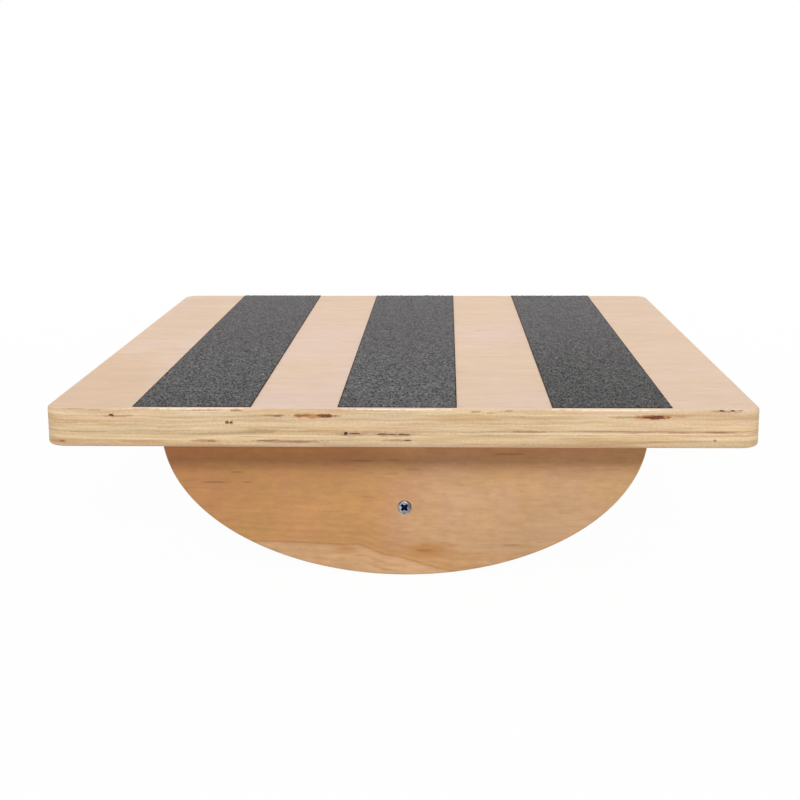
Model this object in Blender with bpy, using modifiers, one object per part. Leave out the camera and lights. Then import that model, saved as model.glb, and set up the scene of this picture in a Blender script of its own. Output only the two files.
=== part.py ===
"""Rocker balance board.

A plywood deck stands on two half-ellipse plywood rockers. A round crossbar holds the rockers
apart. Screws and dowel pins join the deck to the rockers, and three grip strips lie on top.
X is the way the board rocks, Y is its long side, and Z is up from the floor.
"""

import math

import bmesh
import bpy
from mathutils import Matrix

# Space left between pieces that touch on the real board
GAP = 0.0003

# Deck
DECK_WIDTH = 0.340
DECK_DEPTH = 0.400
DECK_THICKNESS = 0.019
DECK_UNDERSIDE = 0.075
DECK_CORNER_RADIUS = 0.010
DECK_CORNER_STEPS = 6
DECK_EDGE_RADIUS = 0.0022
DECK_EDGE_STEPS = 3
DECK_TOP = DECK_UNDERSIDE + DECK_THICKNESS

# Rockers, screwed on a little right of the deck's middle. An odd number of facets leaves one of
# them flat on the floor.
ROCKER_WIDTH = 0.243
ROCKER_THICKNESS = 0.019
ROCKER_SETBACK = 0.035
ROCKER_MIDDLE_X = 0.0007
ROCKER_EDGE_RADIUS = 0.0012
ROCKER_EDGE_STEPS = 2
ROCKER_FACETS = 49
ROCKER_TOP = DECK_UNDERSIDE - GAP
ROCKER_FACE_Y = DECK_DEPTH / 2 - ROCKER_SETBACK
ROCKER_MIDDLE_Y = ROCKER_FACE_Y - ROCKER_THICKNESS / 2

# Crossbar
CROSSBAR_RADIUS = 0.014
CROSSBAR_BELOW_DECK = 0.0396
CROSSBAR_SOCKET_DEPTH = 0.005
CROSSBAR_END_ROUNDING = 0.001
CROSSBAR_END_STEPS = 2
CROSSBAR_SIDES = 32
CROSSBAR_HEIGHT = DECK_UNDERSIDE - CROSSBAR_BELOW_DECK

# Grip strips, laid by hand, so each has its own middle across the deck and a slight turn
STRIP_MIDDLES = {"left": -0.0988, "middle": -0.0009, "right": 0.0995}
STRIP_TURNS = {"left": math.radians(-0.20), "middle": math.radians(-0.26), "right": math.radians(0.07)}
STRIP_WIDTH = 0.0565
STRIP_THICKNESS = 0.0008
STRIP_END_MARGIN = 0.0025
STRIP_CORNER_RADIUS = 0.001
STRIP_CORNER_STEPS = 2

# Countersunk wood screws, 3.5 by 45 mm
SCREW_LENGTH = 0.045
SCREW_HEAD_RADIUS = 0.0035
SCREW_HEAD_RIM = 0.0004
SCREW_HEAD_SINK = 0.0003
SCREW_THREAD_RADIUS = 0.00175
SCREW_NECK_RADIUS = 0.0013
SCREW_CORE_RADIUS = 0.0011
SCREW_PLAIN_LENGTH = 0.015
SCREW_TIP_LENGTH = 0.004
SCREW_THREADS = 10
SCREW_SIDES = 12
RECESS_LENGTH = 0.0042
RECESS_WIDTH = 0.001
RECESS_DEPTH = 0.0018
RECESS_FLOOR_SHARE = 0.45

# Dowel pins, 8 by 30 mm
DOWEL_RADIUS = 0.004
DOWEL_LENGTH = 0.030
DOWEL_IN_DECK = 0.012
DOWEL_END_CHAMFER = 0.0008
DOWEL_CHAMFER_STEPS = 1
DOWEL_SIDES = 16
DOWEL_OFFSET = 0.050

# How far a cutter runs past the face that it opens
CUTTER_OVERRUN = 0.001

EIGHTH_TURN = math.radians(45)
QUARTER_TURN = math.radians(90)

# Angle between faces above which an edge counts as a sharp corner
SHARP_ANGLE = math.radians(40)
BEVEL_ANGLE = math.radians(60)
MERGE_DISTANCE = 0.000001

# Front is at -Y, where the rocker's screw faces the viewer
ENDS = {"front": -1, "rear": 1}
SIDES = {"left": -1, "right": 1}

# Finishes: colour in sRGB, roughness, metallic
FINISHES = {
    "birch_veneer": ((0.90, 0.81, 0.71), 0.55, 0.0),
    "pine_veneer": ((0.79, 0.60, 0.44), 0.60, 0.0),
    "beech": ((0.84, 0.69, 0.52), 0.60, 0.0),
    "grip": ((0.37, 0.37, 0.38), 0.95, 0.0),
    "zinc": ((0.62, 0.65, 0.70), 0.35, 1.0),
}


def clear_scene():
    for thing in list(bpy.data.objects):
        bpy.data.objects.remove(thing, do_unlink=True)


def new_collection(name):
    group = bpy.data.collections.new(name)
    bpy.context.scene.collection.children.link(group)
    return group


def linear(value):
    """One sRGB channel as linear light."""
    if value <= 0.04045:
        return value / 12.92
    return ((value + 0.055) / 1.055) ** 2.4


def new_material(name, finish):
    colour, roughness, metallic = FINISHES[finish]
    material = bpy.data.materials.new(name)
    material.use_nodes = True
    shader = material.node_tree.nodes["Principled BSDF"]
    shader.inputs["Base Color"].default_value = (*map(linear, colour), 1.0)
    shader.inputs["Roughness"].default_value = roughness
    shader.inputs["Metallic"].default_value = metallic
    return material


def move_to(group, thing):
    for other in list(thing.users_collection):
        other.objects.unlink(thing)
    group.objects.link(thing)


def keep_part(thing, name, finish):
    """Names a piece, gives it its finish and puts it in the board's collection."""
    thing.name = name
    thing.data.materials.clear()
    thing.data.materials.append(new_material(name, finish))
    move_to(board, thing)
    thing.parent = base
    return thing


def keep_cutter(thing, name):
    thing.name = name
    thing.hide_render = True
    thing.display_type = "WIRE"
    move_to(cutters, thing)
    return thing


def smooth(mesh):
    mesh.shade_smooth()
    mesh.set_sharp_from_angle(angle=SHARP_ANGLE)


def new_box(size, location):
    bpy.ops.mesh.primitive_cube_add(size=1, location=location)
    box = bpy.context.object
    box.data.transform(Matrix.Diagonal((*size, 1.0)))
    return box


def new_cylinder(radius, length, sides, location):
    bpy.ops.mesh.primitive_cylinder_add(radius=radius, depth=length, vertices=sides, location=location)
    cylinder = bpy.context.object
    smooth(cylinder.data)
    return cylinder


def new_turned(name, profile, sides):
    """A solid of revolution about Z, from (radius, height) points down its outer side."""
    mesh = bpy.data.meshes.new(name)
    points = [(radius, 0.0, height) for radius, height in profile]
    mesh.from_pydata(points, [(i, i + 1) for i in range(len(points) - 1)], [])
    turned = bpy.data.objects.new(name, mesh)
    bpy.context.scene.collection.objects.link(turned)
    lathe = turned.modifiers.new("lathe", "SCREW")
    lathe.steps = sides
    lathe.render_steps = sides
    lathe.use_merge_vertices = True
    lathe.merge_threshold = MERGE_DISTANCE
    lathe.use_smooth_shade = True
    return turned


def round_edges(thing, name, radius, steps):
    """Rounds every square edge of the piece."""
    bevel = thing.modifiers.new(name, "BEVEL")
    bevel.width = radius
    bevel.segments = steps
    bevel.limit_method = "ANGLE"
    bevel.angle_limit = BEVEL_ANGLE


def round_corners(thing, name, radius, steps):
    """Rounds a board's four upright corner edges alone."""
    mesh = thing.data
    weights = mesh.attributes.new("bevel_weight_edge", "FLOAT", "EDGE")
    for edge in mesh.edges:
        start, end = (mesh.vertices[i].co for i in edge.vertices)
        run = end - start
        weights.data[edge.index].value = float(abs(run.z) > run.xy.length)
    bevel = thing.modifiers.new(name, "BEVEL")
    bevel.width = radius
    bevel.segments = steps
    bevel.limit_method = "WEIGHT"


def cut(thing, cutter):
    boolean = thing.modifiers.new("cut " + cutter.name, "BOOLEAN")
    boolean.operation = "DIFFERENCE"
    boolean.solver = "EXACT"
    boolean.object = cutter


def finished_mesh(thing, name):
    """The mesh that a modelled object or curve shows, with its loose caps welded."""
    graph = bpy.context.evaluated_depsgraph_get()
    mesh = bpy.data.meshes.new_from_object(thing.evaluated_get(graph))
    mesh.name = name
    shape = bmesh.new()
    shape.from_mesh(mesh)
    bmesh.ops.remove_doubles(shape, verts=shape.verts, dist=MERGE_DISTANCE)
    shape.to_mesh(mesh)
    shape.free()
    return mesh


def new_recess_wing(turn):
    """One arm of the cross in a screw head, narrower at its floor than at its mouth."""
    height = RECESS_DEPTH + CUTTER_OVERRUN
    bpy.ops.mesh.primitive_cone_add(
        vertices=4,
        radius1=RECESS_FLOOR_SHARE / math.sqrt(2),
        radius2=1 / math.sqrt(2),
        depth=height,
    )
    wing = bpy.context.object
    wing.data.transform(Matrix.Rotation(EIGHTH_TURN, 4, "Z"))
    wing.data.transform(Matrix.Diagonal((RECESS_LENGTH, RECESS_WIDTH, 1.0, 1.0)))
    wing.rotation_euler.z = turn
    wing.location.z = CUTTER_OVERRUN - height / 2
    return keep_cutter(wing, "recess_wing")


def screw_profile():
    """From the middle of the head's face down to the tip, with the thread as ridges."""
    cone_end = -SCREW_HEAD_RIM - (SCREW_HEAD_RADIUS - SCREW_NECK_RADIUS)
    profile = [
        (0.0, 0.0),
        (SCREW_HEAD_RADIUS, 0.0),
        (SCREW_HEAD_RADIUS, -SCREW_HEAD_RIM),
        (SCREW_NECK_RADIUS, cone_end),
        (SCREW_NECK_RADIUS, -SCREW_PLAIN_LENGTH),
    ]
    threaded = SCREW_LENGTH - SCREW_TIP_LENGTH - SCREW_PLAIN_LENGTH
    pitch = threaded / SCREW_THREADS
    for turn in range(SCREW_THREADS):
        start = -SCREW_PLAIN_LENGTH - turn * pitch
        profile.append((SCREW_THREAD_RADIUS, start - pitch / 2))
        profile.append((SCREW_CORE_RADIUS, start - pitch))
    profile.append((0.0, -SCREW_LENGTH))
    return profile


def screw_space_profile():
    """The room that a screw takes, wider than the screw all round by the gap."""
    radius = SCREW_THREAD_RADIUS + GAP
    mouth = SCREW_HEAD_RADIUS + GAP
    cone_start = -SCREW_HEAD_RIM - GAP
    return [
        (0.0, SCREW_HEAD_SINK + CUTTER_OVERRUN),
        (mouth, SCREW_HEAD_SINK + CUTTER_OVERRUN),
        (mouth, cone_start),
        (radius, cone_start - (mouth - radius)),
        (radius, -SCREW_LENGTH - GAP),
        (0.0, -SCREW_LENGTH - GAP),
    ]


def make_screw_meshes():
    """The screw and the room it takes, each made once for all the screws."""
    pattern = new_turned("screw_pattern", screw_profile(), SCREW_SIDES)
    wings = [new_recess_wing(EIGHTH_TURN), new_recess_wing(EIGHTH_TURN + QUARTER_TURN)]
    for wing in wings:
        cut(pattern, wing)
    screw = finished_mesh(pattern, "screw")
    smooth(screw)
    space_pattern = new_turned("screw_space_pattern", screw_space_profile(), SCREW_SIDES)
    space = finished_mesh(space_pattern, "screw_space")
    for helper in (pattern, space_pattern, *wings):
        bpy.data.objects.remove(helper, do_unlink=True)
    return screw, space


def place_screw(name, location, tilt):
    """A screw with its head at the location. Tilt turns it about X from pointing down."""
    screw = bpy.data.objects.new(name, screw_mesh.copy())
    bpy.context.scene.collection.objects.link(screw)
    space = bpy.data.objects.new(name + "_space", screw_space_mesh)
    bpy.context.scene.collection.objects.link(space)
    for thing in (screw, space):
        thing.location = location
        thing.rotation_euler.x = tilt
    keep_part(screw, name, "zinc")
    return keep_cutter(space, name + "_space")


def make_deck():
    deck = new_box(
        (DECK_WIDTH, DECK_DEPTH, DECK_THICKNESS),
        (0.0, 0.0, DECK_UNDERSIDE + DECK_THICKNESS / 2),
    )
    round_corners(deck, "rounded corners", DECK_CORNER_RADIUS, DECK_CORNER_STEPS)
    round_edges(deck, "eased edges", DECK_EDGE_RADIUS, DECK_EDGE_STEPS)
    return keep_part(deck, "deck", "birch_veneer")


def rocker_outline():
    """Half an ellipse below the rocker's straight top, with its lowest facet on the floor."""
    step = math.pi / ROCKER_FACETS
    half_width = ROCKER_WIDTH / 2
    drop = ROCKER_TOP / math.cos(step / 2)
    angles = [math.pi + i * step for i in range(ROCKER_FACETS + 1)]
    return [(half_width * math.cos(a), drop * math.sin(a)) for a in angles]


def make_rocker(end):
    outline = bpy.data.curves.new("rocker_outline", "CURVE")
    outline.dimensions = "2D"
    outline.fill_mode = "BOTH"
    outline.extrude = ROCKER_THICKNESS / 2
    points = rocker_outline()
    spline = outline.splines.new("POLY")
    spline.points.add(len(points) - 1)
    spline.use_cyclic_u = True
    for point, (x, y) in zip(spline.points, points):
        point.co = (x, y, 0.0, 1.0)
    flat = bpy.data.objects.new("rocker_outline", outline)
    bpy.context.scene.collection.objects.link(flat)
    flat.location = (ROCKER_MIDDLE_X, ENDS[end] * ROCKER_MIDDLE_Y, ROCKER_TOP)
    flat.rotation_euler.x = QUARTER_TURN
    bpy.context.view_layer.update()
    rocker = bpy.data.objects.new("rocker", finished_mesh(flat, "rocker"))
    rocker.matrix_world = flat.matrix_world
    bpy.data.objects.remove(flat, do_unlink=True)
    bpy.context.scene.collection.objects.link(rocker)
    round_edges(rocker, "eased edges", ROCKER_EDGE_RADIUS, ROCKER_EDGE_STEPS)
    return keep_part(rocker, "rocker_" + end, "pine_veneer")


def make_crossbar():
    """The bar and the socket that takes each of its ends."""
    inner_face = ROCKER_FACE_Y - ROCKER_THICKNESS
    socket_floor = inner_face + CROSSBAR_SOCKET_DEPTH
    place = (ROCKER_MIDDLE_X, 0.0, CROSSBAR_HEIGHT)
    bar = new_cylinder(CROSSBAR_RADIUS, 2 * (socket_floor - GAP), CROSSBAR_SIDES, place)
    bar.rotation_euler.x = QUARTER_TURN
    round_edges(bar, "eased ends", CROSSBAR_END_ROUNDING, CROSSBAR_END_STEPS)
    socket_length = CROSSBAR_SOCKET_DEPTH + CUTTER_OVERRUN
    for end, side in ENDS.items():
        middle = side * (socket_floor - socket_length / 2)
        place = (ROCKER_MIDDLE_X, middle, CROSSBAR_HEIGHT)
        socket = new_cylinder(CROSSBAR_RADIUS + GAP, socket_length, CROSSBAR_SIDES, place)
        socket.rotation_euler.x = QUARTER_TURN
        keep_cutter(socket, "crossbar_socket_" + end)
        cut(rockers[end], socket)
    return keep_part(bar, "crossbar", "beech")


def make_crossbar_screws():
    for end, side in ENDS.items():
        face = side * (ROCKER_FACE_Y - SCREW_HEAD_SINK)
        tilt = -side * QUARTER_TURN
        head = (ROCKER_MIDDLE_X, face, CROSSBAR_HEIGHT)
        space = place_screw("crossbar_screw_" + end, head, tilt)
        cut(rockers[end], space)
        cut(crossbar, space)


def make_deck_screws():
    """Three screws down into each rocker, one under each grip strip."""
    for end, side in ENDS.items():
        for name, x in STRIP_MIDDLES.items():
            head = (x, side * ROCKER_MIDDLE_Y, DECK_TOP - SCREW_HEAD_SINK)
            space = place_screw(f"deck_screw_{end}_{name}", head, 0.0)
            cut(deck, space)
            cut(rockers[end], space)


def make_dowels():
    """Two blind dowel pins across each joint between the deck and a rocker."""
    height = DECK_UNDERSIDE + DOWEL_IN_DECK - DOWEL_LENGTH / 2
    for end, end_side in ENDS.items():
        for name, side in SIDES.items():
            place = (side * DOWEL_OFFSET, end_side * ROCKER_MIDDLE_Y, height)
            pin = new_cylinder(DOWEL_RADIUS, DOWEL_LENGTH, DOWEL_SIDES, place)
            round_edges(pin, "chamfered ends", DOWEL_END_CHAMFER, DOWEL_CHAMFER_STEPS)
            keep_part(pin, f"dowel_{end}_{name}", "beech")
            hole = new_cylinder(DOWEL_RADIUS + GAP, DOWEL_LENGTH + 2 * GAP, DOWEL_SIDES, place)
            keep_cutter(hole, f"dowel_{end}_{name}_hole")
            cut(deck, hole)
            cut(rockers[end], hole)


def make_grip_strips():
    size = (STRIP_WIDTH, DECK_DEPTH - 2 * STRIP_END_MARGIN, STRIP_THICKNESS)
    for name, x in STRIP_MIDDLES.items():
        strip = new_box(size, (x, 0.0, DECK_TOP + GAP + STRIP_THICKNESS / 2))
        strip.rotation_euler.z = STRIP_TURNS[name]
        round_corners(strip, "rounded corners", STRIP_CORNER_RADIUS, STRIP_CORNER_STEPS)
        keep_part(strip, "grip_strip_" + name, "grip")


clear_scene()
board = new_collection("balance_board")
cutters = new_collection("cutters")
base = bpy.data.objects.new("balance_board_base", None)
board.objects.link(base)

screw_mesh, screw_space_mesh = make_screw_meshes()
deck = make_deck()
rockers = {end: make_rocker(end) for end in ENDS}
crossbar = make_crossbar()
make_crossbar_screws()
make_deck_screws()
make_dowels()
make_grip_strips()
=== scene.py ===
from math import atan2, radians, tau

import bmesh
import bpy
from mathutils import Matrix, Vector


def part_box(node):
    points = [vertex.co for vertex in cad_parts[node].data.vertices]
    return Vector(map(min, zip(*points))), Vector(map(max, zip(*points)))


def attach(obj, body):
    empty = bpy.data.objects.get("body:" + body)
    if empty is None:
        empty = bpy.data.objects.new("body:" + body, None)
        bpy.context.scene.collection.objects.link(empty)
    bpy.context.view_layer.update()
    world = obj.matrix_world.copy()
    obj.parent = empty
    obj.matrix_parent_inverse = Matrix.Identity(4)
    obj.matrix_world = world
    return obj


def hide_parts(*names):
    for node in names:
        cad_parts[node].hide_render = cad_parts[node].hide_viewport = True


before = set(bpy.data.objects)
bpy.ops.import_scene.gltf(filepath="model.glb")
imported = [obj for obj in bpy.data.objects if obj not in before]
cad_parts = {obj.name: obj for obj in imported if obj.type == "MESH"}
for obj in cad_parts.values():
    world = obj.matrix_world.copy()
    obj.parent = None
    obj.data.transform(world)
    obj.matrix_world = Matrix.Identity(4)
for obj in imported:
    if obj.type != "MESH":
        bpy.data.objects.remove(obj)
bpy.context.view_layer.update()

MM = 0.001

# Real sizes in metres, with their counts, turns and shares
DECK_CORNER_RADIUS = 0.010
DECK_EDGE_RADIUS = 0.0018
ROCKER_EDGE_RADIUS = 0.0011
FACE_PLY = 0.0012
PLY_COUNT = 9
GLUE_GROOVE_WIDTH = 0.00016
GLUE_GROOVE_DEPTH = 0.00005
VOID_DEPTH = 0.004
MARK_DEPTH = 0.005
STRIP_WIDTH = 0.0565
STRIP_LENGTH = 0.395
STRIP_TURNS = {
    "left": radians(-0.20),
    "middle": radians(-0.26),
    "right": radians(0.07),
}
FILM_THICKNESS = 0.0003
GRIT_SPACING = 0.0005
GRIT_GRAIN = 0.0012
GRIT_HEIGHT = 0.0014
# The share of the grit's height that is under the top of the film
GRIT_SINK = 0.1
GRIT_JITTER = 0.00018
CUT_JITTER = 0.00012
CROSSBAR_ROUNDING = 0.001
DOWEL_CHAMFER = 0.0009
# What a flute leaves of the dowel's radius
FLUTE_SHARE = 0.94
FIT = 0.0002

# Countersunk screw, 3.5 by 45 mm
SCREW_LENGTH = 0.045
SCREW_HEAD_RADIUS = 0.0033
SCREW_RIM = 0.0006
SCREW_NECK_RADIUS = 0.0013
SCREW_CORE_RADIUS = 0.00115
SCREW_THREAD_RADIUS = 0.00175
SCREW_PLAIN_LENGTH = 0.015
SCREW_TIP_LENGTH = 0.005
SCREW_TIP_RADIUS = SCREW_CORE_RADIUS / 12
SCREW_PITCH = 0.0018
# Half sizes of the oval that the thread's three-sided section fits in
THREAD_HALF_WIDTH = SCREW_PITCH * 0.2
THREAD_HALF_HEIGHT = (SCREW_THREAD_RADIUS - SCREW_CORE_RADIUS) * 0.75
RECESS_LENGTH = 0.0053
RECESS_WIDTH = 0.0016
RECESS_DEPTH = 0.0024
RECESS_TAPER = 0.42
CORE_TOP_RADIUS = RECESS_WIDTH * 1.15
CORE_BOTTOM_RADIUS = RECESS_WIDTH * 0.3
CORE_DROP = 0.0002
# Faces nearer than these to the screw's axis and to the top of its head are in the recess
RECESS_REACH = SCREW_HEAD_RADIUS * 0.7
RECESS_BOTTOM = RECESS_DEPTH * 1.6
HEAD_ROUNDING = 0.0005
HEAD_SINK = 0.0002
# How much further each screw was driven than the one before
SCREW_TURN = radians(37)
# Room round the head in its countersink. The rockers' are drilled a little off the screw's middle.
DECK_HEAD_ROOM = 0.0003
ROCKER_HEAD_ROOM = 0.0005
ROCKER_HEAD_SHIFT = 0.00016
ROCKER_HOLE_REACH = 0.025

# Curve steps
CORNER_STEPS = 12
EDGE_STEPS = 5
HEAD_STEPS = 4
ROCKER_STEPS = 192
CROSSBAR_STEPS = 72
DOWEL_STEPS = 48
FLUTE_STEPS = 4
SCREW_STEPS = 32
HOLE_STEPS = 24
THREAD_STEPS = 16

# Points this close together are one place. Points a tenth as far apart are merged, and in the
# deck, where many cuts meet, points a little further apart.
TINY = 0.00001
MERGE = TINY / 10
DECK_MERGE = TINY * 1.5
# How far past a face a cutter starts
OVERRUN = 0.001
# How square to an axis a face has to be to count as facing it
SQUARE = 0.9
# The same for the face veneer, which goes a little way round the rounded edges
VENEER_SQUARE = 0.85

# Camera at the photograph's viewpoint. Angles are down, to the right and clockwise.
CAMERA_PLACE = Vector((0.01813, -0.86362, 0.23674))
CAMERA_DOWN = radians(11.788)
CAMERA_RIGHT = radians(-1.593)
CAMERA_ROLL = radians(-0.175)
CAMERA_LENS = 64.845
CAMERA_SENSOR = 36.0
CAMERA_NEAR = 0.01
CAMERA_FAR = 200.0

ENDS = {"front": -1, "rear": 1}
BODY = "root"


def object_mode():
    if bpy.context.mode != "OBJECT":
        bpy.ops.object.mode_set(mode="OBJECT")


def only(piece):
    """Makes a piece the one selected and active object."""
    object_mode()
    bpy.ops.object.select_all(action="DESELECT")
    piece.select_set(True)
    bpy.context.view_layer.objects.active = piece


def settle(piece):
    """Moves a piece's place, turn and scale into its mesh."""
    only(piece)
    bpy.ops.object.transform_apply(location=True, rotation=True, scale=True)


def new_piece(name, stretch=(1.0, 1.0, 1.0)):
    """Names, stretches and settles the primitive that was just added."""
    piece = bpy.context.object
    piece.name = name
    piece.data.name = name
    piece.scale = stretch
    settle(piece)
    return piece


def edit(piece):
    only(piece)
    bpy.ops.object.mode_set(mode="EDIT")
    bpy.ops.mesh.select_all(action="DESELECT")


def select_all():
    bpy.ops.mesh.select_all(action="SELECT")


def face_outward():
    bpy.ops.mesh.normals_make_consistent(inside=False)


def extrude(move):
    bpy.ops.mesh.extrude_region_move(TRANSFORM_OT_translate={"value": move})


def resize(factor, middle):
    """Scales what is selected in X and Y only, about a point."""
    bpy.ops.transform.resize(value=(factor, factor, 1.0), center_override=middle)


def pick(piece, kind, wanted):
    """In edit mode, selects the vertices, edges or faces that the test wants."""
    bpy.ops.mesh.select_mode(type=kind)
    bpy.ops.mesh.select_all(action="DESELECT")
    shape = bmesh.from_edit_mesh(piece.data)
    groups = {"VERT": shape.verts, "EDGE": shape.edges, "FACE": shape.faces}
    for item in groups[kind]:
        if wanted(item):
            item.select_set(True)
    shape.select_flush_mode()
    bmesh.update_edit_mesh(piece.data)


def put_outward(piece, reach=MERGE):
    """Merges points closer than the reach and turns every face outward."""
    edit(piece)
    select_all()
    bpy.ops.mesh.remove_doubles(threshold=reach)
    face_outward()
    object_mode()


def smooth(piece, degrees=35):
    only(piece)
    bpy.ops.object.shade_smooth_by_angle(angle=radians(degrees))


def apply_modifier(piece, modifier):
    only(piece)
    bpy.ops.object.modifier_apply(modifier=modifier.name)


def cut_with(piece, cutters):
    """Cuts the cutters out of a piece, one after another, and removes them."""
    for cutter in cutters:
        put_outward(cutter)
        boolean = piece.modifiers.new("cut", "BOOLEAN")
        boolean.operation = "DIFFERENCE"
        boolean.solver = "MANIFOLD"
        boolean.object = cutter
        apply_modifier(piece, boolean)
        bpy.data.objects.remove(cutter, do_unlink=True)


def dress(piece, materials, choose=None):
    """Gives a piece its materials. Faces that the test chooses take the second one."""
    piece.data.materials.clear()
    for material in materials:
        piece.data.materials.append(material)
    if choose:
        for face in piece.data.polygons:
            face.material_index = int(choose(face))


def keep(piece, slot, *nodes):
    """Attaches a finished piece to the body and hides the nodes it stands for."""
    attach(piece, BODY)
    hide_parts(*nodes)


def ply_heights(low, high):
    """The glue lines between the plies, from the underside up: a thin face ply on each side."""
    inner = (high - low - 2 * FACE_PLY) / (PLY_COUNT - 2)
    return [low + FACE_PLY + inner * number for number in range(PLY_COUNT - 1)]


def groove_glue_lines(piece, axis, lines):
    """Cuts a fine groove along each glue line. The axis is the one the plies are stacked along."""
    normal = [0.0, 0.0, 0.0]
    normal[axis] = 1.0
    for line in lines:
        place = [0.0, 0.0, 0.0]
        for offset in (-GLUE_GROOVE_WIDTH / 2, 0.0, GLUE_GROOVE_WIDTH / 2):
            place[axis] = line + offset
            select_all()
            bpy.ops.mesh.bisect(plane_co=place, plane_no=normal)
        pick(piece, "VERT", lambda vertex: abs(vertex.co[axis] - line) < TINY)
        bpy.ops.transform.shrink_fatten(value=-GLUE_GROOVE_DEPTH)


def rim(axis):
    """A test for edges between a face square to an axis, 0 to 2 for X to Z, and one that isn't."""

    def is_square(face):
        return abs(face.normal[axis]) > SQUARE

    return lambda edge: len(edge.link_faces) == 2 and sum(map(is_square, edge.link_faces)) == 1


# Materials


def linear(value):
    """One sRGB channel, 0 to 255, as linear light."""
    share = value / 255
    if share <= 0.04045:
        return share / 12.92
    return ((share + 0.055) / 1.055) ** 2.4


def colour(red, green, blue):
    return (linear(red), linear(green), linear(blue), 1.0)


BLACK = colour(0, 0, 0)
WHITE = colour(255, 255, 255)

BAND_SOCKETS = ("From Min", "From Max", "To Min", "To Max")


class Nodes:
    """A node tree, with short calls for the nodes that are used in it."""

    def __init__(self, tree):
        self.tree = tree

    def node(self, kind, **settings):
        node = self.tree.nodes.new("ShaderNode" + kind)
        for name, value in settings.items():
            setattr(node, name, value)
        return node

    def feed(self, socket, value):
        if isinstance(value, bpy.types.NodeSocket):
            self.tree.links.new(value, socket)
        else:
            socket.default_value = value

    def reckon(self, kind, *values):
        node = self.node("Math", operation=kind)
        for socket, value in zip(node.inputs, values):
            self.feed(socket, value)
        return node.outputs["Value"]

    def times(self, first, second):
        return self.reckon("MULTIPLY", first, second)

    def mix(self, share, first, second, kind="MIX"):
        node = self.node("Mix", data_type="RGBA", blend_type=kind)
        self.feed(node.inputs["Factor"], share)
        self.feed(node.inputs[6], first)
        self.feed(node.inputs[7], second)
        return node.outputs[2]


class Finish(Nodes):
    """A material. Numbers for its shader are given by socket name, with _ for a space."""

    def __init__(self, name, **numbers):
        self.material = bpy.data.materials.new(name)
        self.material.use_nodes = True
        super().__init__(self.material.node_tree)
        self.shader = self.tree.nodes["Principled BSDF"]
        for socket, number in numbers.items():
            self.shader.inputs[socket.replace("_", " ")].default_value = number
        source = self.node("TexCoord")
        self.place = source.outputs["Object"]
        self.turned = source.outputs["Normal"]

    def spread(self, scale, shift=(0.0, 0.0, 0.0), source=None):
        """The place on the board, in cycles per metre along each axis."""
        node = self.node("Mapping")
        self.feed(node.inputs["Vector"], source or self.place)
        node.inputs["Scale"].default_value = scale
        node.inputs["Location"].default_value = shift
        return node.outputs["Vector"]

    def noise(self, scale, detail=2.0, roughness=0.5, distortion=0.0, **spread):
        """Cloudy noise, round 0.5, in cycles per metre along each axis."""
        node = self.node("TexNoise")
        self.feed(node.inputs["Vector"], self.spread(scale, **spread))
        node.inputs["Scale"].default_value = 1.0
        node.inputs["Detail"].default_value = detail
        node.inputs["Roughness"].default_value = roughness
        node.inputs["Distortion"].default_value = distortion
        return node.outputs["Fac"]

    def cells(self, scale, output="Color"):
        """Cells, in cycles per metre along each axis: each one's colour, or the distance in it."""
        node = self.node("TexVoronoi")
        self.feed(node.inputs["Vector"], self.spread(scale))
        node.inputs["Scale"].default_value = 1.0
        return node.outputs[output]

    def band(self, value, low, high, to_low=0.0, to_high=1.0, smooth=True):
        """The value between low and high, moved to the range to_low to to_high and held there."""
        node = self.node("MapRange")
        node.interpolation_type = "SMOOTHSTEP" if smooth else "LINEAR"
        self.feed(node.inputs["Value"], value)
        for name, number in zip(BAND_SOCKETS, (low, high, to_low, to_high)):
            self.feed(node.inputs[name], number)
        return node.outputs["Result"]

    def steps(self, value, stops):
        """The tone of the last stop that the value has passed."""
        node = self.node("ValToRGB")
        node.color_ramp.interpolation = "CONSTANT"
        points = node.color_ramp.elements
        while len(points) < len(stops):
            points.new(0.5)
        for point, (position, tone) in zip(points, stops):
            point.position = position
            point.color = tone
        self.feed(node.inputs["Fac"], value)
        return node.outputs["Color"]

    def axes(self, vector=None):
        node = self.node("SeparateXYZ")
        self.feed(node.inputs["Vector"], vector or self.place)
        return [node.outputs[name] for name in "XYZ"]

    def grey(self, tone, value, *band, **smooth):
        """A colour made darker or lighter by a value round 1, or by a band of it."""
        if band:
            value = self.band(value, *band, **smooth)
        node = self.node("VectorMath", operation="SCALE")
        self.feed(node.inputs[0], tone)
        self.feed(node.inputs["Scale"], value)
        return node.outputs["Vector"]

    def mark(self, tone, place, size, stain, strength, ragged=None):
        """A lens-shaped mark of another colour, at a place on the board and of a half size."""
        inverse = [1 / half for half in size]
        shift = [-middle / half for middle, half in zip(place, size)]
        reach = self.node("VectorMath", operation="LENGTH")
        self.feed(reach.inputs[0], self.spread(inverse, shift=shift))
        distance = reach.outputs["Value"]
        if ragged:
            distance = self.reckon("ADD", distance, ragged)
        return self.mix(self.band(distance, 0.6, 1.1, strength, 0.0), tone, stain)

    def bump(self, height, distance, strength):
        node = self.node("Bump")
        node.inputs["Strength"].default_value = strength
        node.inputs["Distance"].default_value = distance
        self.feed(node.inputs["Height"], height)
        return node.outputs["Normal"]

    def finish(self, tone, normal=None, roughness=None):
        self.feed(self.shader.inputs["Base Color"], tone)
        if normal:
            self.feed(self.shader.inputs["Normal"], normal)
        if roughness:
            self.feed(self.shader.inputs["Roughness"], roughness)
        return self.material


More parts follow.
